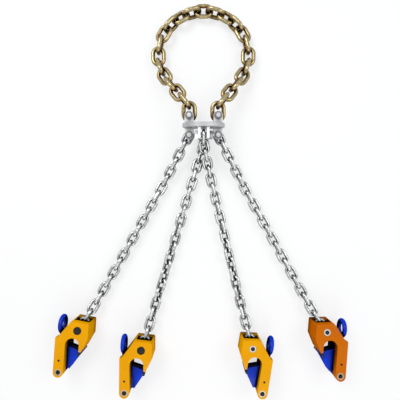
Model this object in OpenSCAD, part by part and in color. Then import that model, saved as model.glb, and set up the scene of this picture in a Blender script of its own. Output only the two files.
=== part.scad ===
// Drum lifter: a chain sling with four rim clamps, laid out flat with its head standing on its rim

/* [Head] */
// Diameter of the round gathering plate
plate_diameter = 80; // [76:1:86]
// Thickness of the gathering plate
plate_thickness = 8; // [6:0.5:10]
// Radius of the circle that carries the lugs
lug_circle = 27; // [25.5:0.5:28.5]
// Lean of the standing head towards the legs
head_lean = 10; // [6:0.5:12]
// Sideways place of the head
head_x = 3.66; // [-10:0.1:20]
// Place of the plate along the sling
head_y = 125.21; // [120:0.5:145]
// Width of one lug ear
ear_width = 17; // [16:0.5:18]
// Thickness of one lug ear
ear_thickness = 5; // [4:0.25:6]
// Clear space between the two ears of a lug
ear_gap = 11; // [10.5:0.25:12]
// Distance from the plate face to a bolt centre
bolt_reach = 14; // [13.5:0.25:16]
// Shank diameter of the lug bolts
bolt_shank = 7.8; // [7.2:0.05:7.8]
// Width across the flats of bolt heads and nuts
hex_flats = 13; // [12:0.5:14]
// Height of a bolt head
bolt_head_height = 5.3; // [4.5:0.1:6]
// Height of a nut
nut_height = 6.5; // [5.5:0.1:7]
// Length of thread standing out of a nut
thread_tail = 2; // [1:0.25:4]

/* [Lifting loop] */
// Wire diameter of the loop chain
loop_wire = 8; // [7.5:0.1:8.2]
// Inner length of a loop link
loop_pitch = 24; // [23.5:0.1:25]
// Outer width of a loop link
loop_width = 29; // [28:0.25:30]
// Turn from link to link around the crown
crown_turn = 15.3; // [15.1:0.1:16.2]
// Links that lead down from the head to the floor
loop_drop_links = 5; // [4:1:6]
// Most a link on the sides of the loop lies over
side_sag = 20; // [0:1:22]
// Most a link of the crown lies over
crown_sag = 24; // [0:1:26]

/* [Legs] */
// Wire diameter of the leg chain
leg_wire = 6; // [5.8:0.05:6.1]
// Inner length of a leg link
leg_pitch = 18.9; // [18.4:0.05:19.2]
// Outer width of a leg link
leg_width = 20.4; // [20.2:0.05:20.8]
// Outward angle of leg 1
leg_1_splay = 29.3; // [28:0.1:32]
// Outward angle of leg 2
leg_2_splay = 16.6; // [14:0.1:17]
// Outward angle of leg 3
leg_3_splay = 13.3; // [12:0.1:15]
// Outward angle of leg 4
leg_4_splay = 28.5; // [27:0.1:31]
// Play between neighbouring links
link_play = 0.3; // [0.2:0.05:0.5]
// Height of the chain centre line where it lies on the floor
chain_rest = 10.7; // [10.6:0.1:12]

/* [Clamp body] */
// Thickness of a clamp body
clamp_thickness = 48; // [46:0.5:50]
// Width of the chain pocket and of the lever slot
slot_width = 22; // [21.4:0.1:23]
// Width of the clamp leg
limb_width = 18.4; // [17.6:0.1:19.5]
// Width of the rim throat
throat_width = 25.4; // [24:0.1:27]
// Depth of the throat top below the chain pin
throat_top = 13.7; // [13.2:0.1:14.5]
// Distance of the pivot below the chain pin
pivot_drop = 75.8; // [74:0.1:78]
// Reach of the nose tip below the chain pin
nose_drop = 38.6; // [37:0.1:39.5]
// Thickness of the wall between chain pocket and flank
pocket_wall = 2.8; // [2.4:0.1:3.2]
// Diameter of the recess for the chain pin head
recess_diameter = 14.8; // [14:0.1:16]
// Depth of that recess
recess_depth = 2.5; // [1.5:0.25:4]
// Turn of clamp 1 seen from above
clamp_1_turn = -3.2; // [-8:0.1:2]
// Turn of clamp 2 seen from above
clamp_2_turn = 0; // [-4:0.1:4]
// Turn of clamp 3 seen from above
clamp_3_turn = -9.8; // [-13:0.1:-6]
// Turn of clamp 4 seen from above
clamp_4_turn = -5.4; // [-9:0.1:-2]

/* [Clamp jaw] */
// Thickness of the jaw wedge
jaw_thickness = 20; // [18:0.25:20.4]
// Thickness of the lever arm
arm_thickness = 10; // [8:0.25:10.4]
// Outer diameter of the finger ring
ring_diameter = 35; // [34:0.5:36]
// Wire diameter of the finger ring
ring_wire = 8.4; // [7.5:0.1:9]
// Length of the bar across the jaw tip
tip_bar_length = 44; // [38:0.5:45]
// Diameter of the tubular pivot pin
pivot_pin = 12; // [11:0.1:12.4]
// Bore of the tubular pivot pin
pivot_pin_bore = 8.4; // [7:0.1:9]
// Wire diameter of the closing spring
spring_wire = 1.4; // [1.2:0.05:1.5]
// Diameter of the stub pins that hold the spring
stub_pin = 4; // [3.5:0.1:4.5]

/* [Hidden] */
$fn = 48;
fit = 0.05;
loop_links = 25;
side_links = 6;
leg_links = 23;
twist_from = 8;
rise_links = 3;
leg_splay = [-leg_1_splay, -leg_2_splay, leg_3_splay, leg_4_splay];
clamp_turn = [clamp_1_turn, clamp_2_turn, clamp_3_turn, clamp_4_turn];
clamp_flipped = [false, false, true, true];
upper_count = [8, 7, 7, 8];
head_z = plate_diameter / 2 * cos(head_lean) + plate_thickness / 2 * sin(head_lean);
head_centre = [head_x, head_y, head_z];
bolt_y = plate_thickness / 2 + bolt_reach;
ear_out = ear_gap / 2 + ear_thickness;
leg_bow = (leg_width - leg_wire) / 2;
loop_bow = (loop_width - loop_wire) / 2;
chain_pin = bolt_shank;
slot_half = slot_width / 2;
flank = 20;
limb_right = -20.8;
limb_left = limb_right - limb_width;
throat_right = limb_right + throat_width;
throat_x = limb_right + throat_width / 2;
throat_y = -throat_top - throat_width / 2;
nose_tip = [throat_right + 3.4, -nose_drop];
pivot = [limb_right - limb_width / 2, -pivot_drop];
stub_at = pivot + [0, 21.2];
ring_centre = [limb_left + 3.8, 4.5];
ring_radius = (ring_diameter - ring_wire) / 2;
boss_half = 6;
pin_ring = chain_pin + 4;
ring_seat = 1.5;
flank_low = -15.2;
coil_radius = pivot_pin / 2 + 1.6;
coil_pitch = spring_wire + 0.05;

// Directions: heading in the floor plane, climb above it, roll about the link's own length
function unit(v) = v / norm(v);
function heading_dir(h, c) = [cos(c) * cos(h), cos(c) * sin(h), sin(c)];
function heading_side(h) = [-sin(h), cos(h), 0];
function rolled(h, c, r) =
    cos(r) * cross(heading_dir(h, c), heading_side(h)) + sin(r) * heading_side(h);
function leaned(v) = [v[0], v[1] * cos(head_lean) - v[2] * sin(head_lean),
    v[1] * sin(head_lean) + v[2] * cos(head_lean)];
function share(k, from, to) = min(max((k - from) / (to - from), 0), 1);

// Each link starts one wire and one play back from the end of the link before it, where the bows cross
function crossing(d, t1, t2) = let (c = unit(cross(t1, t2))) c * d > 0 ? c : -c;
function walk(ds, ts, a, wire, pitch, k = 0) = k == len(ds) ? [] :
    let (c = a + (pitch + wire) * ds[k])
    let (last = k == len(ds) - 1)
    let (next = last ? c : c - (wire + link_play) * crossing(ds[k], ts[k], ts[k + 1]))
    concat([a], walk(ds, ts, next, wire, pitch, k + 1));
function tangents(ds, ns) = [for (k = [0 : len(ds) - 1]) cross(ns[k], ds[k])];

// Lifting loop: up from one upper bolt, around the crown and back to the other bolt
loop_start = head_centre + leaned([-lug_circle, bolt_y - bolt_shank / 2 - link_play - loop_wire / 2, 0]);
loop_finish = head_centre + leaned([lug_circle, bolt_y - bolt_shank / 2 - link_play - loop_wire / 2, 0]);
loop_rest = loop_width / 2 + 0.4;
loop_fall = loop_start[2] + (loop_pitch + loop_wire) * sin(head_lean) - loop_rest;
loop_stretch = loop_drop_links * (loop_pitch - link_play);
loop_first_slope = asin(loop_fall / loop_stretch);
loop_flat = loop_walk(120, loop_first_slope)[loop_drop_links + 1][2];
loop_slope = asin(sin(loop_first_slope) + (loop_flat - loop_rest) / loop_stretch);
function loop_climb(k, slope) = k <= loop_drop_links ? -slope :
    k >= loop_links - 1 - loop_drop_links ? slope : 0;
function half_heading(k, t0) = min(t0, ((loop_links - 1) / 2 - k) * crown_turn);
function loop_heading(k, t0) = k < loop_links / 2 ? half_heading(k, t0) :
    -half_heading(loop_links - 1 - k, t0);
function loop_sag(k) = k <= side_links ? side_sag * sin(180 * share(k, 1, side_links)) :
    crown_sag * sin(180 * share(k, side_links + 1, (loop_links - 1) / 2));
function loop_roll(k) = 90 * k + loop_sag(min(k, loop_links - 1 - k));
function loop_dirs(t0, slope) = [for (k = [0 : loop_links - 1])
    k == 0 ? leaned([0, 1, 0]) : k == loop_links - 1 ? leaned([0, -1, 0]) :
    heading_dir(loop_heading(k, t0), loop_climb(k, slope))];
function loop_normals(t0, slope) = [for (k = [0 : loop_links - 1])
    k == 0 || k == loop_links - 1 ? leaned([0, 0, 1]) :
    rolled(loop_heading(k, t0), loop_climb(k, slope), loop_roll(k))];
function loop_walk(t0, slope) = let (ds = loop_dirs(t0, slope))
    walk(ds, tangents(ds, loop_normals(t0, slope)), loop_start, loop_wire, loop_pitch);
function loop_end(t0) =
    loop_walk(t0, loop_slope)[loop_links - 1] + (loop_pitch + loop_wire) * leaned([0, -1, 0]);
function loop_solve(lo, hi, n) = let (mid = (lo + hi) / 2)
    n == 0 ? mid : loop_end(mid)[0] > loop_finish[0] ? loop_solve(mid, hi, n - 1) :
    loop_solve(lo, mid, n - 1);
loop_lean = loop_solve(95, 150, 22);
loop_d = loop_dirs(loop_lean, loop_slope);
loop_n = loop_normals(loop_lean, loop_slope);
loop_miss = loop_finish - loop_end(loop_lean);
loop_a = let (w = loop_walk(loop_lean, loop_slope))
    [for (k = [0 : loop_links - 1]) w[k] + loop_miss * k / (loop_links - 1)];

// Legs: from a lower bolt down to the floor, along it and up to the clamp's chain pin
lug_place = [[-lug_circle, -bolt_y, 0], [0, -bolt_y, -lug_circle],
    [0, -bolt_y, lug_circle], [lug_circle, -bolt_y, 0]];
leg_drop_links = [5, 5, 4, 5];
function side_leg(i) = i == 0 || i == 3;
function leg_bolt(i) = head_centre + leaned(lug_place[i]);
function leg_heading(i) = -90 + leg_splay[i];
function leg_first(i, slope) = side_leg(i) ? leaned(heading_dir(leg_heading(i), 0)) :
    heading_dir(-90, -slope);
function leg_stretch(i) = (leg_drop_links[i] + 0.5) * (leg_pitch - link_play);
function first_slope(i) = asin((leg_bolt(i)[2] - chain_rest) / leg_stretch(i));
function leg_flat(i) = leg_walk(i, first_slope(i))[leg_drop_links[i] + 1][2];
function leg_slope(i) = asin(sin(first_slope(i)) + (leg_flat(i) - chain_rest) / leg_stretch(i));
rise_slope = asin((clamp_thickness / 2 - chain_rest) / rise_links / (leg_pitch - link_play));
function leg_climb(i, k, slope) = k <= leg_drop_links[i] ? -slope :
    k >= leg_links - 1 - rise_links && k < leg_links - 1 ? rise_slope : 0;
function leg_roll(i, k) = side_leg(i) ? 90 * k :
    90 * (k + 1) + 90 * share(k, twist_from - 1, leg_links - 1);
function leg_dirs(i, slope) = [for (k = [0 : leg_links - 1])
    k == 0 ? leg_first(i, slope) : heading_dir(leg_heading(i), leg_climb(i, k, slope))];
function leg_normals(i, slope) = [for (k = [0 : leg_links - 1])
    k == 0 ? (side_leg(i) ? leaned([0, 0, 1]) : [1, 0, 0]) :
    rolled(leg_heading(i), leg_climb(i, k, slope), leg_roll(i, k))];
function leg_walk(i, slope) = let (ds = leg_dirs(i, slope))
    let (start = leg_bolt(i) - leg_bow * leg_first(i, slope))
    walk(ds, tangents(ds, leg_normals(i, slope)), start, leg_wire, leg_pitch);
function leg_place(i) = let (w = leg_walk(i, leg_slope(i)))
    let (miss = clamp_thickness / 2 - w[leg_links - 1][2])
    [for (k = [0 : leg_links - 1]) w[k] + [0, 0, miss * k / (leg_links - 1)]];
leg_a = [for (i = [0 : 3]) leg_place(i)];
leg_d = [for (i = [0 : 3]) leg_dirs(i, leg_slope(i))];
leg_n = [for (i = [0 : 3]) leg_normals(i, leg_slope(i))];
clamp_at = [for (i = [0 : 3])
    leg_a[i][leg_links - 1] + (leg_pitch + leg_wire - leg_bow) * leg_d[i][leg_links - 1]];

// One chain link: two bows and two straight bars, lying in the plane across z
module link(wire, pitch, bow) {
    half = (pitch + wire) / 2 - bow;
    union() {
        translate([half, 0, 0])
            rotate([0, 0, -90])
                rotate_extrude(angle = 180)
                    translate([bow, 0])
                        circle(d = wire);
        translate([-half, 0, 0])
            rotate([0, 0, 90])
                rotate_extrude(angle = 180)
                    translate([bow, 0])
                        circle(d = wire);
        for (s = [-1, 1])
            translate([-half, s * bow, 0])
                rotate([0, 90, 0])
                    cylinder(d = wire, h = 2 * half);
    }
}

// Puts a link with its first bow at a, its length along d and its flat across n
module put_link(a, d, n, wire, pitch, bow) {
    t = cross(n, d);
    m = a + (pitch + wire) / 2 * d;
    multmatrix([[d[0], t[0], n[0], m[0]], [d[1], t[1], n[1], m[1]], [d[2], t[2], n[2], m[2]]])
        link(wire, pitch, bow);
}

module loop_run(from, to) {
    color("goldenrod")
        for (k = [from : to])
            put_link(loop_a[k], loop_d[k], loop_n[k], loop_wire, loop_pitch, loop_bow);
}

module leg_run(i, from, to) {
    color("silver")
        for (k = [from : to])
            put_link(leg_a[i][k], leg_d[i][k], leg_n[i][k], leg_wire, leg_pitch, leg_bow);
}

// Head frame: y along the plate's axis, leaned as it stands
module on_head() {
    translate(head_centre)
        rotate([head_lean, 0, 0])
            children();
}

module gathering_plate() {
    chamfer = 0.8;
    r = plate_diameter / 2;
    h = plate_thickness / 2;
    color("gainsboro")
        on_head()
            rotate([90, 0, 0])
                rotate_extrude()
                    polygon([[0, -h], [r - chamfer, -h], [r, chamfer - h], [r, h - chamfer],
                        [r - chamfer, h], [0, h]]);
}

// Two ears standing on the plate face, pierced by the bolt along z
module lug() {
    reach = bolt_reach;
    for (s = [-1, 1])
        translate([0, 0, s * (ear_gap + ear_thickness) / 2 - ear_thickness / 2])
            difference() {
                union() {
                    translate([-ear_width / 2, 0, 0])
                        cube([ear_width, reach, ear_thickness]);
                    translate([0, reach, 0])
                        rotate_extrude(angle = 180)
                            square([ear_width / 2, ear_thickness]);
                }
                translate([0, reach, -1])
                    cylinder(d = bolt_shank + 2 * fit, h = ear_thickness + 2);
            }
}

// Places for the lugs: z of the child is the bolt axis, y points away from the plate
module at_upper_lugs() {
    for (s = [-1, 1])
        translate([s * lug_circle, plate_thickness / 2, 0])
            children();
}

module at_lower_lugs() {
    for (s = [-1, 1])
        translate([s * lug_circle, -plate_thickness / 2, 0])
            rotate([0, 0, 180])
                children();
    for (s = [-1, 1])
        translate([0, -plate_thickness / 2, s * lug_circle])
            rotate([0, 90, 0])
                rotate([0, 0, 180])
                    children();
}

// Hexagon with its two rims turned down to the flats
module hexagon(height) {
    r = hex_flats / 2 / cos(30);
    cut = r - hex_flats / 2;
    intersection() {
        cylinder(r = r, h = height, $fn = 6);
        rotate_extrude()
            polygon([[0, 0], [hex_flats / 2, 0], [hex_flats / 2 + cut, cut * 0.6],
                [hex_flats / 2 + cut, height - cut * 0.6], [hex_flats / 2, height], [0, height]]);
    }
}

module bolt() {
    tail = nut_height + thread_tail;
    translate([0, bolt_reach, 0]) {
        translate([0, 0, -ear_out])
            cylinder(d = bolt_shank, h = 2 * ear_out + tail);
        translate([0, 0, -ear_out - bolt_head_height])
            hexagon(bolt_head_height);
    }
}

module nut() {
    translate([0, bolt_reach, ear_out])
        difference() {
            hexagon(nut_height);
            translate([0, 0, -1])
                cylinder(d = bolt_shank + 2 * fit, h = nut_height + 2);
        }
}

module upper_lugs() {
    color("silver")
        on_head()
            at_upper_lugs()
                lug();
}

module lower_lugs() {
    color("silver")
        on_head()
            at_lower_lugs()
                lug();
}

module upper_bolts() {
    color("lightgray")
        on_head()
            at_upper_lugs()
                bolt();
}

module lower_bolts() {
    color("lightgray")
        on_head()
            at_lower_lugs()
                bolt();
}

module upper_nuts() {
    color("lightgray")
        on_head()
            at_upper_lugs()
                nut();
}

module lower_nuts() {
    color("lightgray")
        on_head()
            at_lower_lugs()
                nut();
}

// Clamp frame: chain pin at the origin, body either side of z = 0
module on_clamp(i) {
    translate(clamp_at[i])
        rotate([0, clamp_flipped[i] ? 180 : 0, clamp_turn[i]])
            children();
}

// Outline of a clamp body through its whole thickness: shoulder, nose and leg around the throat
module clamp_block() {
    h = clamp_thickness;
    nose_root = flank - (flank - nose_tip[0]) * (flank_low - throat_y) / (nose_drop + flank_low);
    translate([0, 0, -h / 2]) {
        difference() {
            linear_extrude(h)
                polygon([[limb_left, throat_y], [nose_root, throat_y], [flank, flank_low], [flank, 10.7],
                    [flank - 1.5, 12.6], [-12.2, 16.3], [-14, 14.4], [limb_left + 3.8, -13.5],
                    [limb_left, -13.5]]);
            translate([throat_x, throat_y, -1])
                cylinder(d = throat_width, h = h + 2);
        }
        linear_extrude(h)
            polygon([[throat_right, throat_y], [throat_right, 1.6 - nose_drop], nose_tip,
                [nose_root, throat_y]]);
        translate([limb_left, -pivot_drop, 0])
            cube([limb_width, throat_y + pivot_drop, h]);
        translate([pivot[0], pivot[1], 0])
            rotate([0, 0, 180])
                rotate_extrude(angle = 180)
                    square([limb_width / 2, h]);
    }
}

// Room for the last link to swing on its pin, open only at the top
module chain_pocket() {
    r = leg_width / 2 + 0.5;
    translate([0, 0, -slot_half]) {
        cylinder(r = r, h = slot_width);
        linear_extrude(slot_width)
            polygon([[-r, 0], [r * cos(60), -r * sin(60)], [flank - pocket_wall, 2],
                [flank - pocket_wall, 30], [-r, 30]]);
    }
}

// Room for the jaw lever inside the leg, open to both sides
module lever_slot() {
    out = limb_left - 1;
    low = -pivot_drop - limb_width;
    translate([0, 0, -slot_half])
        linear_extrude(slot_width)
            polygon([[out, low], [throat_x, low], [throat_x, throat_y], [limb_right + 2, throat_y + 8],
                [pivot[0] + 1, -15], [pivot[0] + 1, -5], [out, -5]]);
}

module clamp_body(i) {
    color("orange")
        on_clamp(i)
            difference() {
                clamp_block();
                chain_pocket();
                lever_slot();
                translate([0, 0, -clamp_thickness])
                    cylinder(d = chain_pin + 2 * fit, h = 2 * clamp_thickness);
                translate([pivot[0], pivot[1], -clamp_thickness])
                    cylinder(d = pivot_pin + 2 * fit, h = 2 * clamp_thickness);
                translate([stub_at[0], stub_at[1], -clamp_thickness])
                    cylinder(d = stub_pin + 2 * fit, h = 2 * clamp_thickness);
                translate([0, 0, clamp_thickness / 2 - recess_depth])
                    cylinder(d = recess_diameter, h = 2 * recess_depth);
                translate([0, 0, -clamp_thickness / 2 - 1])
                    cylinder(d = pin_ring + 0.6, h = 1 + ring_seat);
            }
}

// Jaw wedge, arm and finger ring in one piece, turning on the pivot pin
module jaw_lever(i) {
    low = pivot + [15.6, 1.9];
    tip = pivot + [36.9, 33.1];
    top = pivot + [11.2, 43];
    color("royalblue")
        on_clamp(i)
            difference() {
                union() {
                    translate([0, 0, -jaw_thickness / 2])
                        linear_extrude(jaw_thickness)
                            polygon([top, tip + [-0.9, 1.2], tip, low, pivot + [12.6, 4.8],
                                pivot + [12.6, 16.8]]);
                    translate([0, 0, -arm_thickness / 2])
                        linear_extrude(arm_thickness)
                            polygon([pivot + [-8.2, 0], low + [-3, -1], pivot + [14, 17],
                                top + [1, -1], pivot + [3, 44], pivot + [-0.5, 57],
                                [ring_centre[0] + 3, ring_centre[1] - ring_radius + 1],
                                [ring_centre[0] - 3, ring_centre[1] - ring_radius + 1],
                                pivot + [-8.2, 54]]);
                    translate([pivot[0], pivot[1], -boss_half])
                        cylinder(r = limb_width / 2 - 0.4, h = 2 * boss_half);
                    translate([ring_centre[0], ring_centre[1], 0])
                        rotate([0, 90, 0])
                            rotate_extrude()
                                translate([ring_radius, 0])
                                    circle(d = ring_wire);
                    translate([tip[0] - 2.4, tip[1] - 1, -tip_bar_length / 2])
                        cylinder(d = 4.4, h = tip_bar_length);
                }
                translate([pivot[0], pivot[1], -clamp_thickness])
                    cylinder(d = pivot_pin + 2 * fit, h = 2 * clamp_thickness);
            }
}

module pivot_pin_tube(i) {
    color("gainsboro")
        on_clamp(i)
            translate([pivot[0], pivot[1], 0])
                difference() {
                    translate([0, 0, 0.6 - clamp_thickness / 2])
                        cylinder(d = pivot_pin, h = clamp_thickness - 1.2);
                    translate([0, 0, -clamp_thickness])
                        cylinder(d = pivot_pin_bore, h = 2 * clamp_thickness);
                }
}

// Pin through the chain pocket with a flat head sunk in one face
module chain_pin_rod(i) {
    seat = clamp_thickness / 2 - recess_depth;
    color("dimgray")
        on_clamp(i)
            union() {
                translate([0, 0, 0.4 - clamp_thickness / 2])
                    cylinder(d = chain_pin, h = seat + clamp_thickness / 2 - 0.4);
                translate([0, 0, seat])
                    cylinder(d1 = recess_diameter - 0.6, d2 = recess_diameter - 1.4, h = recess_depth - 0.7);
            }
}

// Bright ring that keeps the pin in on the other face
module pin_ring_washer(i) {
    color("gainsboro")
        on_clamp(i)
            translate([0, 0, -clamp_thickness / 2])
                difference() {
                    translate([0, 0, ring_seat - 1.2])
                        cylinder(d = pin_ring, h = 1.2);
                    translate([0, 0, -1])
                        cylinder(d = chain_pin + 2 * fit, h = ring_seat + 2);
                }
}

// Wire of the closing spring: two turns beside the boss, then a straight end up to the stub pin
function coil_point(a, z0) = [coil_radius * cos(a), coil_radius * sin(a), z0 + coil_pitch * (a - 180) / 360];
module coil() {
    sides = 6;
    steps = 24;
    z0 = boss_half + 0.3 + spring_wire / 2;
    points = [for (j = [0 : steps]) let (a = 180 + 30 * j) for (s = [0 : sides - 1])
        let (w = spring_wire / 2 * cos(360 * s / sides))
        let (v = spring_wire / 2 * sin(360 * s / sides))
        coil_point(a, z0) + [w * cos(a), w * sin(a), v]];
    walls = [for (j = [0 : steps - 1]) for (s = [0 : sides - 1]) let (n = (s + 1) % sides)
        for (f = [[j * sides + s, j * sides + n, (j + 1) * sides + n],
            [j * sides + s, (j + 1) * sides + n, (j + 1) * sides + s]]) f];
    caps = [[for (s = [sides - 1 : -1 : 0]) s], [for (s = [0 : sides - 1]) steps * sides + s]];
    foot = coil_point(180, z0);
    end = [-stub_pin / 2 - spring_wire / 2 - 0.1, 22.5, z0];
    run = end - foot;
    union() {
        polyhedron(points, concat(walls, caps), convexity = 6);
        translate(foot)
            rotate([0, acos(run[2] / norm(run)), atan2(run[1], run[0])])
                cylinder(d = spring_wire, h = norm(run));
    }
}

module spring(i) {
    color("gray")
        on_clamp(i)
            translate([pivot[0], pivot[1], 0])
                for (s = [0, 1])
                    mirror([0, 0, s])
                        coil();
}

module stub_pins(i) {
    color("gray")
        on_clamp(i)
            for (s = [0, 180])
                translate([stub_at[0], stub_at[1], 0])
                    rotate([s, 0, 0])
                        translate([0, 0, arm_thickness / 2 + 0.6])
                            cylinder(d = stub_pin, h = clamp_thickness / 2 - arm_thickness / 2 - 1.4);
}

module loop_end_link_left() {
    loop_run(0, 0);
}

module loop_end_link_right() {
    loop_run(loop_links - 1, loop_links - 1);
}

module loop_side_left() {
    loop_run(1, side_links);
}

module loop_side_right() {
    loop_run(loop_links - 1 - side_links, loop_links - 2);
}

module loop_crown() {
    loop_run(side_links + 1, loop_links - 2 - side_links);
}

gathering_plate();
upper_lugs();
lower_lugs();
upper_bolts();
lower_bolts();
upper_nuts();
lower_nuts();
loop_end_link_left();
loop_end_link_right();
loop_side_left();
loop_side_right();
loop_crown();
leg_run(0, 0, 0);  // leg_1_top_link
leg_run(0, 1, upper_count[0] - 1);  // leg_1_upper_run
leg_run(0, upper_count[0], leg_links - 1);  // leg_1_lower_run
leg_run(1, 0, 0);  // leg_2_top_link
leg_run(1, 1, upper_count[1] - 1);  // leg_2_upper_run
leg_run(1, upper_count[1], leg_links - 1);  // leg_2_lower_run
leg_run(2, 0, 0);  // leg_3_top_link
leg_run(2, 1, upper_count[2] - 1);  // leg_3_upper_run
leg_run(2, upper_count[2], leg_links - 1);  // leg_3_lower_run
leg_run(3, 0, 0);  // leg_4_top_link
leg_run(3, 1, upper_count[3] - 1);  // leg_4_upper_run
leg_run(3, upper_count[3], leg_links - 1);  // leg_4_lower_run
clamp_body(0);  // clamp_1_body
jaw_lever(0);  // clamp_1_jaw_lever
pivot_pin_tube(0);  // clamp_1_pivot_pin
chain_pin_rod(0);  // clamp_1_chain_pin
pin_ring_washer(0);  // clamp_1_pin_ring
spring(0);  // clamp_1_spring
stub_pins(0);  // clamp_1_stub_pins
clamp_body(1);  // clamp_2_body
jaw_lever(1);  // clamp_2_jaw_lever
pivot_pin_tube(1);  // clamp_2_pivot_pin
chain_pin_rod(1);  // clamp_2_chain_pin
pin_ring_washer(1);  // clamp_2_pin_ring
spring(1);  // clamp_2_spring
stub_pins(1);  // clamp_2_stub_pins
clamp_body(2);  // clamp_3_body
jaw_lever(2);  // clamp_3_jaw_lever
pivot_pin_tube(2);  // clamp_3_pivot_pin
chain_pin_rod(2);  // clamp_3_chain_pin
pin_ring_washer(2);  // clamp_3_pin_ring
spring(2);  // clamp_3_spring
stub_pins(2);  // clamp_3_stub_pins
clamp_body(3);  // clamp_4_body
jaw_lever(3);  // clamp_4_jaw_lever
pivot_pin_tube(3);  // clamp_4_pivot_pin
chain_pin_rod(3);  // clamp_4_chain_pin
pin_ring_washer(3);  // clamp_4_pin_ring
spring(3);  // clamp_4_spring
stub_pins(3);  // clamp_4_stub_pins
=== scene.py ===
import math

import bmesh
import bpy
import numpy as np
from mathutils import Matrix, Vector


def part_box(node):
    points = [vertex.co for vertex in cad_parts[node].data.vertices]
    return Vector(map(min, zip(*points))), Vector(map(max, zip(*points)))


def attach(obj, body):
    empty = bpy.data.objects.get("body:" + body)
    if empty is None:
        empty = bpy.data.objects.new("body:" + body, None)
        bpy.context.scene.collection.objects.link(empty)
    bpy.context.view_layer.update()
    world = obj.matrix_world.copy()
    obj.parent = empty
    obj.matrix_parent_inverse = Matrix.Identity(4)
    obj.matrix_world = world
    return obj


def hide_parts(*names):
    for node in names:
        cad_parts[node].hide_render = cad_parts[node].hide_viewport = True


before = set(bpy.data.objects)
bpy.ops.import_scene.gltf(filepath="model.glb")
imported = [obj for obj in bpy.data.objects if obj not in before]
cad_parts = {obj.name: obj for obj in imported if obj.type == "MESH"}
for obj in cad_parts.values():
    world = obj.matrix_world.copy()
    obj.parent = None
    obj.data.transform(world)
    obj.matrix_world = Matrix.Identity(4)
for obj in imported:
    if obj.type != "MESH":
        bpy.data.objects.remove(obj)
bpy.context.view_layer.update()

bl_info = {
    "name": "Drum Lifter",
    "version": (1, 0, 0),
    "blender": (4, 5, 0),
    "location": "3D View > Sidebar > Drum Lifter",
    "description": "Finishes a chain drum lifter: plated chain, enamelled rim clamps and a soft studio",
    "category": "Object",
}

MM = 0.001

# The chains: each node of links and the body that it rides on.
LEGS = (1, 2, 3, 4)
LOOP_NODES = {
    "loop_end_link_left": "loop_end_left",
    "loop_end_link_right": "loop_end_right",
    "loop_side_left": "loop_sides",
    "loop_side_right": "loop_sides",
    "loop_crown": "loop_crown",
}
LEG_NODES = {
    f"leg_{leg}_{node}": f"leg_{leg}_{body}"
    for leg in LEGS
    for node, body in (("top_link", "top"), ("upper_run", "upper"), ("lower_run", "lower"))
}

# In a copy of a node, corners closer than this are one.
MERGE_DISTANCE = 0.002 * MM

# Facets that differ by less than the first angle are one face, and outer edges sharper than the second
# are rounded. Edges sharper than the last two look crisp, on rounded copies and on the spring wire.
FLAT_ANGLE = math.radians(0.6)
ROUNDED_ANGLE = math.radians(24)
CRISP_ANGLE = math.radians(32)
SPRING_ANGLE = math.radians(66)
ROUNDING_STEPS = 3

# The jaw levers' rounding, as a share of the clamp bodies' rounding.
JAW_ROUNDING = 0.8

# Half length of a link's weld, in wire radii.
WELD_LENGTH = 0.95

# Radius of one drop of a weld bead, as a share of the bead's size.
DROP_SHARE = 0.8

# Thread ridge: its height in pitches, its corners in heights out of the shank and pitches along it, how
# many turns it makes and the steps of a whole turn.
THREAD_HEIGHT = 0.2
THREAD_PROFILE = ((-1, 0.0), (1, 0.45), (-1, 0.9))
THREAD_TURNS = 0.9
THREAD_STEPS = 24

# The end of a bolt whose width tells the tail from the head.
BOLT_END = 0.5 * MM

# Tones of the platings.
GOLD_OLIVE = (0.31, 0.265, 0.1)
# The next two gold tones are painted shade, for the crevices between links and the flanks near the floor.
GOLD_SHADE_DARK = (0.08, 0.062, 0.01)
GOLD_SHADE_BROWN = (0.14, 0.058, 0.014)
GOLD_RUBBED = (0.74, 0.69, 0.52)
# The deep zinc tone is painted shade, for crevices and the flanks near the floor.
ZINC_SHADE = (0.1, 0.115, 0.115)
ZINC_RUBBED = (0.78, 0.79, 0.79)
STEEL_RUBBED = (0.82, 0.82, 0.83)
BLACK_RUBBED = (0.3, 0.3, 0.31)

# Tones of the small steel pieces.
LUG_TONE = (0.78, 0.785, 0.79)
BOLT_TONE = (0.62, 0.625, 0.635)
# The nuts' near black tone is partly painted shade: it gives the dark ring round each bolt end and the dark
# nuts in the shade under the plate.
NUT_TONE_AND_SHADE = (0.2, 0.205, 0.21)
KEEPER_TONE = (0.74, 0.74, 0.75)
PIVOT_TONE = (0.54, 0.49, 0.4)
BLACK_TONE = (0.022, 0.022, 0.024)
SPRING_TONE = (0.11, 0.11, 0.12)

# Each enamel's darker drifts, which, darkened much further, are also its painted shade in crevices and near
# the floor, and what shows where its edges are rubbed.
AMBER_DRIFT_AND_SHADE = (0.74, 0.3, 0.0)
AMBER_BARE = (0.36, 0.2, 0.08)
ORANGE_DRIFT_AND_SHADE = (0.5, 0.11, 0.0)
ORANGE_BARE = (0.3, 0.15, 0.06)
BLUE_DRIFT_AND_SHADE = (0.0, 0.016, 0.36)
BLUE_BARE = (0.2, 0.22, 0.3)

# Places of the Mix node's sockets.
MIX_NUMBERS = (2, 3)
MIX_NUMBER_OUT = 0
MIX_COLOURS = (6, 7)
MIX_COLOUR_OUT = 2

# Rays sent out at each point to find how closely it is hemmed in, for the painted shade.
PAINTED_SHADE_SAMPLES = 12

# The floor lies just under the object, so that the two don't share a plane.
FLOOR_HALF = 6.0
FLOOR_HEIGHT = -0.4 * MM
FLOOR_COLOUR = (0.92, 0.92, 0.92, 1.0)

# The floor's share of glow, close by and far off, where it is white, and how far from the middle that is.
FLOOR_GLOW = (0.7, 1.0)
FLOOR_GLOW_REACH = (0.5, 1.5)

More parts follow.
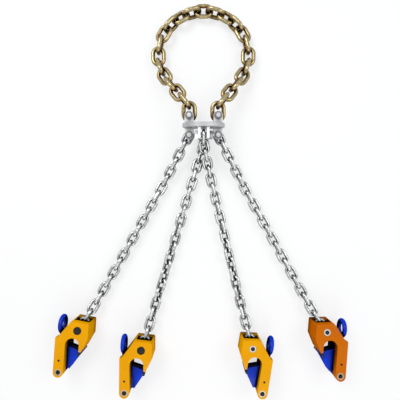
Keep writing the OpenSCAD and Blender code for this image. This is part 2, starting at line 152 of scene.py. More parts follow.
# The light that the world gives, and the colour that is seen of it.
SKY_COLOUR = (0.9, 0.94, 1.0, 1.0)
SKY_STRENGTH = 0.45
WHITE = (1.0, 1.0, 1.0, 1.0)

# Lamps aimed at the middle of the floor: name, place, size and power.
LAMPS = (
    ("key", (-0.7, 0.75, 1.35), 0.9, 15),
    ("fill", (0.95, 0.2, 1.2), 0.8, 6.2),
    ("low", (0.1, -1.2, 0.8), 0.8, 4.4),
)

# The camera looks down on the lay-out.
CAMERA_PLACE = (-0.00304, -0.0434, 0.692)
CAMERA_TILT = math.radians(2.46)
CAMERA_LENS = 31.4
CAMERA_SENSOR = 36.0
CAMERA_NEAR = 0.01


class DrumLifterLooks(bpy.types.PropertyGroup):
    """Sizes and colours of the finishes"""

    clamp_colour: bpy.props.FloatVectorProperty(
        name="Clamp enamel", description="Orange-yellow enamel of the clamp bodies",
        subtype="COLOR", size=3, min=0, max=1, default=(0.84, 0.375, 0.0))
    last_clamp_colour: bpy.props.FloatVectorProperty(
        name="Fourth clamp enamel", description="The fourth clamp body is a deeper orange",
        subtype="COLOR", size=3, min=0, max=1, default=(0.6, 0.14, 0.0))
    jaw_colour: bpy.props.FloatVectorProperty(
        name="Jaw enamel", description="Blue enamel of the jaw levers",
        subtype="COLOR", size=3, min=0, max=1, default=(0.0, 0.04, 0.66))
    gold_colour: bpy.props.FloatVectorProperty(
        name="Loop plating", description="Yellow chromate of the lifting loop",
        subtype="COLOR", size=3, min=0, max=1, default=(0.38, 0.305, 0.18))
    zinc_colour: bpy.props.FloatVectorProperty(
        name="Leg plating", description="Bright zinc of the leg chains",
        subtype="COLOR", size=3, min=0, max=1, default=(0.51, 0.525, 0.52))
    plate_colour: bpy.props.FloatVectorProperty(
        name="Plate", description="Dull grey of the gathering plate",
        subtype="COLOR", size=3, min=0, max=1, default=(0.46, 0.465, 0.475))
    edge_round: bpy.props.FloatProperty(
        name="Edge rounding", description="Rounding of the clamp and lever edges",
        subtype="DISTANCE", unit="LENGTH", min=0.2 * MM, max=3 * MM, default=1.1 * MM)
    edge_wear: bpy.props.FloatProperty(
        name="Edge wear", description="How much enamel is rubbed off the edges",
        subtype="FACTOR", min=0, max=1, default=0.35)
    weld_swell: bpy.props.FloatProperty(
        name="Weld swell", description="How far a link's weld stands out of its wire",
        subtype="DISTANCE", unit="LENGTH", min=0, max=1 * MM, default=0.3 * MM)
    bead: bpy.props.FloatProperty(
        name="Weld bead", description="Size of the weld beads at the feet of the lugs",
        subtype="DISTANCE", unit="LENGTH", min=0.5 * MM, max=3 * MM, default=1.6 * MM)
    # The tip bars' black skin is painted shade, for the bar lying in the shade under the clamp's nose.
    skin: bpy.props.FloatProperty(
        name="Tip bar skin", description="Thickness of the black skin on the tip bars",
        subtype="DISTANCE", unit="LENGTH", min=0.05 * MM, max=0.3 * MM, default=0.1 * MM)
    thread_pitch: bpy.props.FloatProperty(
        name="Thread pitch", description="Pitch of the thread on the bolts",
        subtype="DISTANCE", unit="LENGTH", min=0.5 * MM, max=2 * MM, default=1.25 * MM)


def looks():
    """The finish settings of this scene."""
    return bpy.context.scene.drum_lifter


def plate_centre():
    """Middle of the gathering plate, from its box."""
    low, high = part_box("gathering_plate")
    return (low + high) / 2


def give(tree, socket, value):
    """Feeds a socket from another socket, or sets its value."""
    if isinstance(value, bpy.types.NodeSocket):
        tree.links.new(value, socket)
    else:
        socket.default_value = value


def add(tree, kind, **settings):
    """A node with its inputs fed and its properties set; spaces in names are written as underscores."""
    node = tree.nodes.new(kind)
    for key, value in settings.items():
        label = key.replace("_", " ")
        if label in node.inputs:
            give(tree, node.inputs[label], value)
        else:
            setattr(node, key, value)
    return node


def combine(tree, operation, first, second, use_clamp=False):
    """The result of a Math node on two sockets or numbers."""
    node = add(tree, "ShaderNodeMath", operation=operation, use_clamp=use_clamp)
    give(tree, node.inputs[0], first)
    give(tree, node.inputs[1], second)
    return node.outputs["Value"]


def make_group(name, inputs, output):
    """A shader group with named number inputs and one number output, and the place on the surface."""
    tree = bpy.data.node_groups.new(name, "ShaderNodeTree")
    for label, value in inputs.items():
        socket = tree.interface.new_socket(name=label, in_out="INPUT", socket_type="NodeSocketFloat")
        socket.default_value = value
    tree.interface.new_socket(name=output, in_out="OUTPUT", socket_type="NodeSocketFloat")
    given = tree.nodes.new("NodeGroupInput").outputs
    result = tree.nodes.new("NodeGroupOutput").inputs[output]
    place = tree.nodes.new("ShaderNodeTexCoord").outputs["Object"]
    return tree, given, place, result


def patches_group():
    """Soft uneven patches over a surface."""
    tree, given, place, result = make_group("Patches", {"Scale": 90.0, "Seed": 0.0}, "Mask")
    noise = add(
        tree, "ShaderNodeTexNoise", noise_dimensions="4D", Vector=place, Scale=given["Scale"],
        W=given["Seed"], Detail=5.0, Roughness=0.6)
    spread = add(tree, "ShaderNodeMapRange", Value=noise.outputs["Fac"], From_Min=0.36, From_Max=0.64)
    tree.links.new(spread.outputs["Result"], result)
    return tree


def grain_group():
    """Fine grain of a plated or sprayed coat, as a height."""
    tree, given, place, result = make_group("Coat grain", {"Scale": 900.0}, "Height")
    cell_share = 0.55
    noise = add(
        tree, "ShaderNodeTexNoise", Vector=place, Scale=given["Scale"], Detail=4.0, Roughness=0.55)
    cells = add(
        tree, "ShaderNodeTexVoronoi", feature="SMOOTH_F1", Vector=place,
        Scale=combine(tree, "MULTIPLY", given["Scale"], cell_share), Smoothness=0.6)
    height = combine(tree, "ADD", noise.outputs["Fac"], cells.outputs["Distance"])
    tree.links.new(height, result)
    return tree


def scuffs_group():
    """Thin scratches that lie in scattered fields."""
    tree, given, place, result = make_group("Scuffs", {"Scale": 60.0, "Amount": 0.5}, "Mask")
    field_share = 0.45
    turn = add(
        tree, "ShaderNodeMapping", Vector=place, Rotation=(0.2, 0.4, 0.7), Scale=(1.0, 11.0, 9.0))
    streaks = add(
        tree, "ShaderNodeTexNoise", Vector=turn.outputs["Vector"], Scale=given["Scale"],
        Detail=3.0, Roughness=0.7)
    fields = add(
        tree, "ShaderNodeTexNoise", Vector=place,
        Scale=combine(tree, "MULTIPLY", given["Scale"], field_share), Detail=2.0)
    thin = add(tree, "ShaderNodeMapRange", Value=streaks.outputs["Fac"], From_Min=0.63, From_Max=0.7)
    where = add(tree, "ShaderNodeMapRange", Value=fields.outputs["Fac"], From_Min=0.48, From_Max=0.62)
    both = combine(tree, "MULTIPLY", thin.outputs["Result"], where.outputs["Result"])
    tree.links.new(combine(tree, "MULTIPLY", both, given["Amount"]), result)
    return tree


def rubbed_edges_group():
    """Edges where the coat is worn, broken up by noise; the edge itself is marked in the mesh."""
    tree, given, place, result = make_group("Rubbed edges", {"Scale": 240.0, "Amount": 0.4}, "Mask")
    least_noise = 0.78
    amount_share = 0.3
    steepness = 9.0
    edge = add(tree, "ShaderNodeAttribute", attribute_name="rounded_edge")
    noise = add(
        tree, "ShaderNodeTexNoise", Vector=place, Scale=given["Scale"], Detail=5.0, Roughness=0.65)
    limit = combine(
        tree, "SUBTRACT", least_noise, combine(tree, "MULTIPLY", given["Amount"], amount_share))
    over = combine(tree, "SUBTRACT", noise.outputs["Fac"], limit)
    worn = combine(tree, "MULTIPLY", over, steepness, use_clamp=True)
    tree.links.new(combine(tree, "MULTIPLY", worn, edge.outputs["Fac"], use_clamp=True), result)
    return tree


EFFECTS = {
    "Patches": patches_group,
    "Coat grain": grain_group,
    "Scuffs": scuffs_group,
    "Rubbed edges": rubbed_edges_group,
}


class Finish:
    """A material under construction, with short ways to add effects."""

    def __init__(self, name, **shader):
        self.material = bpy.data.materials.new(name)
        self.material.use_nodes = True
        self.tree = self.material.node_tree
        self.tree.nodes.clear()
        self.shader = add(self.tree, "ShaderNodeBsdfPrincipled", **shader)
        add(self.tree, "ShaderNodeOutputMaterial", Surface=self.shader.outputs["BSDF"])

    def effect(self, group, **values):
        """A shared effect with its own values; gives its output socket."""
        node = self.tree.nodes.new("ShaderNodeGroup")
        node.node_tree = bpy.data.node_groups.get(group) or EFFECTS[group]()
        for label, value in values.items():
            node.inputs[label].default_value = value
        return node.outputs[0]

    def mix(self, mask, first, second):
        """A colour between two colours or sockets, by a mask."""
        node = add(self.tree, "ShaderNodeMix", data_type="RGBA", Factor=mask)
        for number, value in zip(MIX_COLOURS, (first, second)):
            if not isinstance(value, bpy.types.NodeSocket):
                value = (*value, 1.0)
            give(self.tree, node.inputs[number], value)
        return node.outputs[MIX_COLOUR_OUT]

    def blend(self, mask, first, second):
        """A number between two numbers or sockets, by a mask."""
        node = add(self.tree, "ShaderNodeMix", Factor=mask)
        for number, value in zip(MIX_NUMBERS, (first, second)):
            give(self.tree, node.inputs[number], value)
        return node.outputs[MIX_NUMBER_OUT]

    def between(self, mask, low, high):
        """A number that runs from low to high as the mask runs from 0 to 1."""
        node = add(self.tree, "ShaderNodeMapRange", Value=mask, To_Min=low, To_Max=high)
        return node.outputs["Result"]

    def painted_shade(self, reach, low=0.35, high=0.85):
        """1 in crevices and close to what lies beside the surface, 0 in the open: the mask of painted
        shade.
        """
        sky = add(self.tree, "ShaderNodeAmbientOcclusion", samples=PAINTED_SHADE_SAMPLES, Distance=reach)
        spread = add(
            self.tree, "ShaderNodeMapRange", Value=sky.outputs["AO"], From_Min=low, From_Max=high,
            To_Min=1.0, To_Max=0.0)
        return spread.outputs["Result"]

    def turned_away(self, low, high):
        """1 where the surface turns away from the eye, 0 where it faces it; for gloss only."""
        weight = add(self.tree, "ShaderNodeLayerWeight", Blend=0.5)
        spread = add(
            self.tree, "ShaderNodeMapRange", Value=weight.outputs["Facing"], From_Min=low, From_Max=high)
        return spread.outputs["Result"]

    def feed(self, label, socket):
        """Leads a socket into the shader."""
        self.tree.links.new(socket, self.shader.inputs[label])

    def bump(self, height, strength, distance):
        """Raises the surface by a height."""
        node = add(self.tree, "ShaderNodeBump", Strength=strength, Distance=distance, Height=height)
        self.feed("Normal", node.outputs["Normal"])


def shade(colour, factor):
    """A colour made lighter or darker."""
    return tuple(min(1.0, channel * factor) for channel in colour)


def gold_chromate():
    """Yellow chromate on steel: pale gold with olive patches, and painted shade of dark olive and brown in
    crevices and on the flanks near the floor.
    """
    gold = tuple(looks().gold_colour)
    finish = Finish("Gold chromate", Metallic=1.0)
    olive = finish.effect("Patches", Scale=70.0, Seed=1.0)
    open_tone = finish.mix(finish.between(olive, low=0.0, high=0.6), gold, GOLD_OLIVE)
    brown = finish.effect("Patches", Scale=38.0, Seed=6.0)
    shade_tone = finish.mix(brown, GOLD_SHADE_DARK, GOLD_SHADE_BROWN)
    rubbed = finish.effect("Scuffs", Scale=160.0, Amount=0.6)
    worn = finish.mix(rubbed, open_tone, GOLD_RUBBED)
    # Painted shade: dark olive and brown where the surface is hemmed in, in crevices and on the flanks near
    # the floor.
    shade_mask = finish.painted_shade(reach=26 * MM, low=0.62, high=1.0)
    finish.feed("Base Color", finish.mix(shade_mask, worn, shade_tone))
    cloud = finish.effect("Patches", Scale=260.0, Seed=2.0)
    finish.feed("Roughness", finish.between(cloud, low=0.14, high=0.28))
    finish.bump(finish.effect("Coat grain", Scale=1300.0), strength=0.06, distance=0.4 * MM)
    return finish.material


def bright_zinc():
    """Bright zinc on chain: cloudy cool grey and rubbed bright in places, with painted shade in crevices
    and on the flanks near the floor.
    """
    zinc = tuple(looks().zinc_colour)
    finish = Finish("Bright zinc", Metallic=1.0)
    cloud = finish.effect("Patches", Scale=120.0, Seed=3.0)
    varied = finish.mix(cloud, shade(zinc, 0.78), shade(zinc, 1.15))
    rubbed = finish.effect("Scuffs", Scale=190.0, Amount=0.7)
    worn = finish.mix(rubbed, varied, ZINC_RUBBED)
    # Painted shade: near black where the surface is hemmed in, in crevices and near the floor.
    shade_mask = finish.painted_shade(reach=30 * MM, low=0.58, high=1.0)
    finish.feed("Base Color", finish.mix(shade_mask, worn, ZINC_SHADE))
    haze = finish.effect("Patches", Scale=300.0, Seed=4.0)
    finish.feed("Roughness", finish.between(haze, low=0.12, high=0.26))
    finish.bump(finish.effect("Coat grain", Scale=1500.0), strength=0.05, distance=0.3 * MM)
    return finish.material


def dull_plate():
    """Dull grey plating of the gathering plate, with faint turning marks about its middle."""
    grey = tuple(looks().plate_colour)
    finish = Finish("Dull plate", Metallic=0.55)
    cloud = finish.effect("Patches", Scale=45.0, Seed=8.0)
    varied = finish.mix(cloud, shade(grey, 0.88), shade(grey, 1.1))
    rubbed = finish.effect("Scuffs", Scale=70.0, Amount=0.6)
    finish.feed("Base Color", finish.mix(rubbed, varied, shade(grey, 1.35)))
    haze = finish.effect("Patches", Scale=180.0, Seed=9.0)
    finish.feed("Roughness", finish.between(haze, low=0.42, high=0.58))
    place = add(finish.tree, "ShaderNodeTexCoord")
    centre = add(
        finish.tree, "ShaderNodeMapping", Vector=place.outputs["Object"], Location=-plate_centre())
    rings = add(
        finish.tree, "ShaderNodeTexWave", wave_type="RINGS", rings_direction="Y",
        Vector=centre.outputs["Vector"], Scale=320.0, Distortion=0.8)
    grain = finish.effect("Coat grain", Scale=900.0)
    finish.bump(
        combine(finish.tree, "ADD", rings.outputs["Fac"], grain), strength=0.14, distance=0.3 * MM)
    return finish.material


def zinc_steel(name, tone, smooth, rough, reach=7 * MM, depth=0.22):
    """Zinc plated steel of the lugs, bolts, nuts and bright pins, with painted shade in crevices and near
    other parts.
    """
    finish = Finish(name, Metallic=0.9)
    cloud = finish.effect("Patches", Scale=110.0, Seed=5.0)
    clean = finish.mix(cloud, shade(tone, 0.86), shade(tone, 1.1))
    # Painted shade: the tone falls to depth times itself where the surface is hemmed in, within reach.
    varied = finish.mix(finish.painted_shade(reach), clean, shade(tone, depth))
    rubbed = finish.effect("Scuffs", Scale=150.0, Amount=0.7)
    finish.feed("Base Color", finish.mix(rubbed, varied, STEEL_RUBBED))
    haze = finish.effect("Patches", Scale=260.0, Seed=7.0)
    finish.feed("Roughness", finish.between(haze, smooth, rough))
    finish.bump(finish.effect("Coat grain", Scale=1100.0), strength=0.14, distance=0.3 * MM)
    return finish.material


def enamel(name, colour, deep_and_shade, bare, scale, shine):
    """Sprayed enamel: slight orange peel, soft tone drifts, dark scuffs, edges worn to the metal, and
    painted shade, near black, in crevices and toward the floor.
    """
    finish = Finish(name, Coat_Roughness=0.2, Specular_IOR_Level=0.0)
    drift = finish.effect("Patches", Scale=scale, Seed=11.0)
    coat = finish.mix(finish.between(drift, low=0.0, high=0.55), colour, deep_and_shade)
    # Painted shade: the coat goes near black in crevices, in the throat and on walls near the floor.
    shade_mask = finish.painted_shade(reach=34 * MM, low=0.28, high=0.84)
    shaded = finish.mix(shade_mask, coat, shade(deep_and_shade, 0.07))
    scuff = finish.effect("Scuffs", Scale=95.0, Amount=0.55)
    scuffed = finish.mix(scuff, shaded, shade(deep_and_shade, 0.62))
    edge = finish.effect("Rubbed edges", Scale=260.0, Amount=looks().edge_wear)
    finish.feed("Base Color", finish.mix(edge, scuffed, bare))
    finish.feed("Metallic", finish.between(edge, low=0.0, high=0.8))
    haze = finish.effect("Patches", Scale=210.0, Seed=12.0)
    bare_roughness = 0.45
    finish.feed("Roughness", finish.blend(edge, finish.between(haze, low=0.34, high=0.5), bare_roughness))
    dry = combine(finish.tree, "MAXIMUM", scuff, finish.turned_away(low=0.15, high=0.65))
    finish.feed("Coat Weight", finish.between(dry, low=shine, high=0.0))
    finish.bump(finish.effect("Coat grain", Scale=620.0), strength=0.16, distance=0.4 * MM)
    return finish.material


def dark_steel(name, tone, smooth, rough):
    """Black oxide or oiled steel with a dry, patchy sheen."""
    finish = Finish(name, Metallic=0.85)
    cloud = finish.effect("Patches", Scale=190.0, Seed=14.0)
    varied = finish.mix(cloud, shade(tone, 0.6), shade(tone, 1.5))
    rubbed = finish.effect("Scuffs", Scale=230.0, Amount=0.5)
    finish.feed("Base Color", finish.mix(rubbed, varied, BLACK_RUBBED))
    haze = finish.effect("Patches", Scale=330.0, Seed=15.0)
    finish.feed("Roughness", finish.between(haze, smooth, rough))
    finish.bump(finish.effect("Coat grain", Scale=1200.0), strength=0.15, distance=0.3 * MM)
    return finish.material


def dress(node, material):
    """Gives a node of the frame its finish."""
    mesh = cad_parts[node].data
    mesh.materials.clear()
    mesh.materials.append(material)


def merged_copy(node):
    """A bmesh of a node with its loose triangles joined."""
    bm = bmesh.new()
    bm.from_mesh(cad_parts[node].data)
    bmesh.ops.remove_doubles(bm, verts=bm.verts, dist=MERGE_DISTANCE)
    return bm


def shade_round(bm):
    """Shades every face smoothly."""
    for face in bm.faces:
        face.smooth = True


def keep_piece(bm, name, material, body):
    """Turns a bmesh into a piece that rides on a body."""
    mesh = bpy.data.meshes.new(name)
    bm.to_mesh(mesh)
    bm.free()
    mesh.materials.append(material)
    piece = bpy.data.objects.new(name, mesh)
    bpy.context.scene.collection.objects.link(piece)
    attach(piece, body)
    return piece


def rounded_copy(node, name, material, body, width):
    """A node's shape with its outer edges rounded and marked for wear, standing for the node."""
    bm = merged_copy(node)
    bmesh.ops.dissolve_limit(
        bm, angle_limit=FLAT_ANGLE, verts=bm.verts, edges=bm.edges, use_dissolve_boundaries=False)
    sharp = [
        edge for edge in bm.edges
        if len(edge.link_faces) == 2 and edge.calc_face_angle_signed(0.0) > ROUNDED_ANGLE
    ]
    made = bmesh.ops.bevel(
        bm, geom=sharp, offset=width, offset_type="OFFSET", segments=ROUNDING_STEPS, profile=0.5,
        affect="EDGES", clamp_overlap=True, loop_slide=True, material=-1)
    mark = bm.verts.layers.float.new("rounded_edge")
    for face in made["faces"]:
        for vert in face.verts:
            vert[mark] = 1.0
    shade_round(bm)
    piece = keep_piece(bm, name, material, body)
    piece.data.set_sharp_from_angle(angle=CRISP_ANGLE)
    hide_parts(node)


def smooth_copy(node, name, material, body):
    """A node's shape with its facets shaded round, standing for the node."""
    bm = merged_copy(node)
    shade_round(bm)
    piece = keep_piece(bm, name, material, body)
    piece.data.set_sharp_from_angle(angle=SPRING_ANGLE)
    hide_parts(node)


def separate_solids(node):
    """The vertices of each closed solid of a node, as arrays."""
    bm = merged_copy(node)
    bm.verts.ensure_lookup_table()
    seen = set()
    solids = []
    for start in bm.verts:
        if start.index in seen:
            continue
        seen.add(start.index)
        queue = [start]
        island = []
        while queue:
            vert = queue.pop()
            island.append(vert.co[:])
            for edge in vert.link_edges:
                other = edge.other_vert(vert)
                if other.index not in seen:
                    seen.add(other.index)
                    queue.append(other)
        solids.append(np.array(island))
    bm.free()
    return solids


def main_axes(points):
    """Middle of a solid, its axes from longest to shortest, and its half sizes along them."""
    axes = np.linalg.svd(points - points.mean(0), full_matrices=False)[2]
    spans = points @ axes.T
    middle = ((spans.max(0) + spans.min(0)) / 2) @ axes
    return Vector(middle), [Vector(axis) for axis in axes], (spans.max(0) - spans.min(0)) / 2


def weld_swells(node, body, material):
    """The butt weld of every link: a low swelling in the middle of one bar."""
    swell = looks().weld_swell
    bm = bmesh.new()
    for number, points in enumerate(separate_solids(node)):
        middle, (along, across, _), (_, half_width, wire) = main_axes(points)
        side = 1 if number % 2 else -1
        centre = middle + across * side * float(half_width - wire)
        turn = along.to_track_quat("Z", "Y").to_matrix().to_4x4()
        size = Matrix.Diagonal((wire + swell, wire + swell, wire * WELD_LENGTH, 1.0))
        bmesh.ops.create_uvsphere(
            bm, u_segments=20, v_segments=12, radius=1.0, matrix=Matrix.Translation(centre) @ turn @ size)
    shade_round(bm)
    keep_piece(bm, f"{node}_welds", material, body)


def fillet_beads(node, material):
    """Rippled weld beads where the outer faces of the lug ears meet the plate."""
    bead = looks().bead
    centre = plate_centre()
    _, plate_axes, plate_halves = main_axes(np.concatenate(separate_solids("gathering_plate")))
    axis = plate_axes[2]
    half_plate = float(plate_halves[2])
    bm = bmesh.new()
    for points in separate_solids(node):
        middle, axes, half = main_axes(points)
        outward = axes[2] * math.copysign(1.0, (middle - centre).dot(axes[2]))
        side = math.copysign(1.0, (middle - centre).dot(axis))
        wide = axis.cross(outward).normalized()
        half_ear = max(abs(float((Vector(point) - middle).dot(wide))) for point in points)
        foot = middle - axis * (middle - centre).dot(axis) + axis * side * half_plate
        steps = round(2 * half_ear / bead)
        for step in range(steps + 1):
            place = foot + outward * float(half[2]) + wide * (2 * half_ear * step / steps - half_ear)
            bmesh.ops.create_uvsphere(
                bm, u_segments=10, v_segments=6, radius=bead * DROP_SHARE, matrix=Matrix.Translation(place))
    shade_round(bm)
    keep_piece(bm, f"{node}_beads", material, "head")


def bolt_threads(node, material):
    """A turned ridge on the tail of each bolt, where it stands out of its nut."""
    pitch = looks().thread_pitch
    crest = pitch * THREAD_HEIGHT
    steps = round(THREAD_STEPS * THREAD_TURNS)
    bm = bmesh.new()
    for points in separate_solids(node):
        middle, (along, side, _), half = main_axes(points)
        length = float(half[0])
        reach = (points - np.array(middle)) @ np.array(along)
        spread = np.linalg.norm(points - np.array(middle) - np.outer(reach, along), axis=1)
        tips = [spread[reach * way > length - BOLT_END].max() for way in (1, -1)]
        if tips[1] < tips[0]:
            along = -along
        radius = float(min(tips))
        foot = middle + along * (length - pitch * (THREAD_TURNS + 1))
        ring = [
            bm.verts.new(foot + side * (radius + out * crest) + along * pitch * rise)
            for out, rise in THREAD_PROFILE
        ]
        start = bm.faces.new(ring)
        bmesh.ops.spin(
            bm, geom=[start, *start.edges, *ring], cent=middle, axis=along,
            dvec=along * pitch * THREAD_TURNS / steps, angle=math.tau * THREAD_TURNS, steps=steps,
            use_merge=False)
    bmesh.ops.holes_fill(bm, edges=[edge for edge in bm.edges if edge.is_boundary], sides=3)
    bmesh.ops.recalc_face_normals(bm, faces=bm.faces)
    keep_piece(bm, f"{node}_thread", material, "head")


def tip_bar_shade_skin(leg, material):
    """Black skin of the bar across a jaw's tip, the lever's tallest feature; painted shade, for the bar
    lying in the shade under the clamp's nose.
    """
    points = np.concatenate(separate_solids(f"clamp_{leg}_jaw_lever"))
    skin = looks().skin
    low = points[:, 2].min()
    high = points[:, 2].max()
    end = points[points[:, 2] > high - skin]
    middle = (end.min(0) + end.max(0)) / 2
    radius = float(np.linalg.norm(end[:, :2] - middle[:2], axis=1).max()) + skin
    place = Matrix.Translation((middle[0], middle[1], (low + high) / 2))
    bm = bmesh.new()
    bmesh.ops.create_cone(
        bm, cap_ends=True, segments=32, radius1=radius, radius2=radius,
        depth=float(high - low) + 2 * skin, matrix=place)
    for face in bm.faces:
        face.smooth = len(face.verts) == 4
    keep_piece(bm, f"clamp_{leg}_tip_bar_shade_skin", material, f"jaw_{leg}")


class DRUM_OT_head(bpy.types.Operator):
    """Finish the gathering plate, its lugs, bolts and nuts"""

    bl_idname = "drum_lifter.head"
    bl_label = "Head"

    def execute(self, context):
        dress("gathering_plate", dull_plate())
        # The lugs' painted shade reaches further and goes darker, between the ears and under the plate.
        lug = zinc_steel("Lug zinc", LUG_TONE, smooth=0.36, rough=0.52, reach=9 * MM, depth=0.1)
        bolt = zinc_steel("Bolt zinc", BOLT_TONE, smooth=0.22, rough=0.36)
        # The nuts' dark tone is partly painted shade.
        nut = zinc_steel("Nut zinc", NUT_TONE_AND_SHADE, smooth=0.26, rough=0.4, depth=0.15)
        for level in ("upper", "lower"):
            dress(f"{level}_lugs", lug)
            fillet_beads(f"{level}_lugs", lug)
            dress(f"{level}_bolts", bolt)
            bolt_threads(f"{level}_bolts", bolt)
            dress(f"{level}_nuts", nut)
        return {"FINISHED"}


class DRUM_OT_loop(bpy.types.Operator):
    """Finish the gold lifting loop and add the welds of its links"""

    bl_idname = "drum_lifter.loop"
    bl_label = "Lifting loop"

    def execute(self, context):
        gold = gold_chromate()
        for node, body in LOOP_NODES.items():
            dress(node, gold)
            weld_swells(node, body, gold)
        return {"FINISHED"}


class DRUM_OT_legs(bpy.types.Operator):
    """Finish the four leg chains and add the welds of their links"""

    bl_idname = "drum_lifter.legs"
    bl_label = "Leg chains"

    def execute(self, context):
        zinc = bright_zinc()
        for node, body in LEG_NODES.items():
            dress(node, zinc)
            weld_swells(node, body, zinc)
        return {"FINISHED"}


class DRUM_OT_clamps(bpy.types.Operator):
    """Round and enamel the clamp bodies and jaw levers"""

    bl_idname = "drum_lifter.clamps"
    bl_label = "Clamps and jaws"

    def execute(self, context):
        amber = tuple(looks().clamp_colour)
        orange = tuple(looks().last_clamp_colour)
        blue = tuple(looks().jaw_colour)
        width = looks().edge_round
        body_coat = enamel("Clamp enamel", amber, AMBER_DRIFT_AND_SHADE, AMBER_BARE, scale=26.0, shine=0.2)
        last_coat = enamel("Fourth clamp enamel", orange, ORANGE_DRIFT_AND_SHADE, ORANGE_BARE, scale=26.0, shine=0.2)
        jaw_coat = enamel("Jaw enamel", blue, BLUE_DRIFT_AND_SHADE, BLUE_BARE, scale=34.0, shine=0.35)
        for leg in LEGS:
            coat = last_coat if leg == LEGS[-1] else body_coat
            rounded_copy(
                f"clamp_{leg}_body", f"clamp_{leg}_body_rounded", coat,
                f"clamp_{leg}", width)
            rounded_copy(
                f"clamp_{leg}_jaw_lever", f"clamp_{leg}_jaw_rounded", jaw_coat,
                f"jaw_{leg}", width * JAW_ROUNDING)
        return {"FINISHED"}


class DRUM_OT_pins(bpy.types.Operator):
    """Finish the pins, tip bars and closing springs of the clamps"""

    bl_idname = "drum_lifter.pins"
    bl_label = "Pins and springs"

    def execute(self, context):
        black = dark_steel("Black oxide", BLACK_TONE, smooth=0.34, rough=0.55)
        spring = dark_steel("Spring steel", SPRING_TONE, smooth=0.25, rough=0.42)
        bright = zinc_steel("Bright pin", KEEPER_TONE, smooth=0.14, rough=0.28, depth=0.12)
        warm = zinc_steel("Pivot pin", PIVOT_TONE, smooth=0.2, rough=0.34, depth=0.12)
        for leg in LEGS:
            dress(f"clamp_{leg}_chain_pin", black)
            dress(f"clamp_{leg}_pivot_pin", warm)
            dress(f"clamp_{leg}_pin_ring", bright)
            dress(f"clamp_{leg}_stub_pins", black)
            # The black skin on the tip bar is painted shade.
            tip_bar_shade_skin(leg, black)
            smooth_copy(
                f"clamp_{leg}_spring", f"clamp_{leg}_spring_round", spring,
                f"clamp_{leg}")
        return {"FINISHED"}


def seen_directly(tree):
    """1 where a ray comes from the camera, a mirror or glass, else 0."""
    path = add(tree, "ShaderNodeLightPath").outputs
    seen = combine(tree, "MAXIMUM", path["Is Camera Ray"], path["Is Glossy Ray"])
    return combine(tree, "MAXIMUM", seen, path["Is Transmission Ray"])


def mix_shaders(tree, share, first, second):
    """A shader between two shaders, by a share."""
    node = add(tree, "ShaderNodeMixShader", Fac=share)
    tree.links.new(first, node.inputs[1])
    tree.links.new(second, node.inputs[2])
    return node.outputs["Shader"]


def white_floor(scene):
    """A white floor that keeps the object's shadow and glows only where it is seen."""
    bm = bmesh.new()
    bmesh.ops.create_grid(bm, x_segments=1, y_segments=1, size=FLOOR_HALF)
    mesh = bpy.data.meshes.new("floor")
    bm.to_mesh(mesh)
    bm.free()
    floor = bpy.data.objects.new("floor", mesh)
    floor.location.z = FLOOR_HEIGHT
    scene.collection.objects.link(floor)
    white = bpy.data.materials.new("White sweep")
    white.use_nodes = True
    tree = white.node_tree
    tree.nodes.clear()
    matte = add(tree, "ShaderNodeBsdfDiffuse", Color=FLOOR_COLOUR)
    glow = add(tree, "ShaderNodeEmission", Strength=1.0)
    place = add(tree, "ShaderNodeTexCoord")
    away = add(tree, "ShaderNodeVectorMath", operation="LENGTH", Vector=place.outputs["Object"])
    share = add(
        tree, "ShaderNodeMapRange", Value=away.outputs["Value"],
        From_Min=FLOOR_GLOW_REACH[0], From_Max=FLOOR_GLOW_REACH[1],
        To_Min=FLOOR_GLOW[0], To_Max=FLOOR_GLOW[1])
    part = combine(tree, "MULTIPLY", seen_directly(tree), share.outputs["Result"])
    surface = mix_shaders(tree, part, matte.outputs["BSDF"], glow.outputs["Emission"])
    add(tree, "ShaderNodeOutputMaterial", Surface=surface)
    mesh.materials.append(white)


def white_world(scene):
    """A plain world that lights softly and is white where it is seen."""
    scene.world = bpy.data.worlds.new("Studio")
    scene.world.use_nodes = True
    tree = scene.world.node_tree
    tree.nodes.clear()
    fill = add(tree, "ShaderNodeBackground", Color=SKY_COLOUR, Strength=SKY_STRENGTH)
    back = add(tree, "ShaderNodeBackground", Color=WHITE)
    surface = mix_shaders(
        tree, seen_directly(tree), fill.outputs["Background"], back.outputs["Background"])
    add(tree, "ShaderNodeOutputWorld", Surface=surface)


def softbox(scene, name, place, size, power):
    """A square lamp pointed at the middle of the floor."""
    data = bpy.data.lights.new(name, "AREA")
    data.shape = "SQUARE"
    data.size = size
    data.energy = power
    lamp = bpy.data.objects.new(name, data)
    lamp.location = place
    lamp.rotation_mode = "QUATERNION"
    lamp.rotation_quaternion = (-Vector(place)).to_track_quat("-Z", "Y")
    scene.collection.objects.link(lamp)


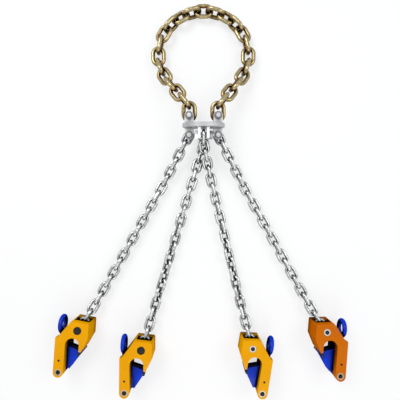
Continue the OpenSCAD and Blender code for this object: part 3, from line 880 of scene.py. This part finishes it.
def camera_above(scene):
    """The camera that looks down on the lay-out."""
    lens = bpy.data.cameras.new("camera")
    lens.sensor_width = CAMERA_SENSOR
    lens.lens = CAMERA_LENS
    lens.clip_start = CAMERA_NEAR
    camera = bpy.data.objects.new("camera", lens)
    camera.location = CAMERA_PLACE
    camera.rotation_euler = (CAMERA_TILT, 0, 0)
    scene.collection.objects.link(camera)
    scene.camera = camera


class DRUM_OT_studio(bpy.types.Operator):
    """Set up the white floor, soft lamps and the camera above the lay-out"""

    bl_idname = "drum_lifter.studio"
    bl_label = "Studio"

    def execute(self, context):
        scene = context.scene
        scene.view_settings.view_transform = "Standard"
        white_floor(scene)
        white_world(scene)
        for name, place, size, power in LAMPS:
            softbox(scene, name, place, size, power)
        camera_above(scene)
        return {"FINISHED"}


PIECE_OPERATORS = (DRUM_OT_head, DRUM_OT_loop, DRUM_OT_legs, DRUM_OT_clamps, DRUM_OT_pins, DRUM_OT_studio)


class DRUM_PT_sidebar(bpy.types.Panel):
    """Finishes and pieces of the drum lifter"""

    bl_idname = "DRUM_PT_sidebar"
    bl_label = "Drum Lifter"
    bl_space_type = "VIEW_3D"
    bl_region_type = "UI"
    bl_category = "Drum Lifter"

    def draw(self, context):
        column = self.layout.column()
        for label in DrumLifterLooks.__annotations__:
            column.prop(context.scene.drum_lifter, label)
        for operator in PIECE_OPERATORS:
            column.operator(operator.bl_idname)


CLASSES = (DrumLifterLooks, *PIECE_OPERATORS, DRUM_PT_sidebar)


def register():
    """Makes the settings, operators and panel known to Blender."""
    for cls in CLASSES:
        bpy.utils.register_class(cls)
    bpy.types.Scene.drum_lifter = bpy.props.PointerProperty(type=DrumLifterLooks)


def unregister():
    """Takes them out again."""
    del bpy.types.Scene.drum_lifter
    for cls in reversed(CLASSES):
        bpy.utils.unregister_class(cls)


def main():
    """Builds every piece in order."""
    register()
    bpy.ops.drum_lifter.studio()
    bpy.ops.drum_lifter.head()
    bpy.ops.drum_lifter.loop()
    bpy.ops.drum_lifter.legs()
    bpy.ops.drum_lifter.clamps()
    bpy.ops.drum_lifter.pins()


if __name__ == "__main__":
    main()
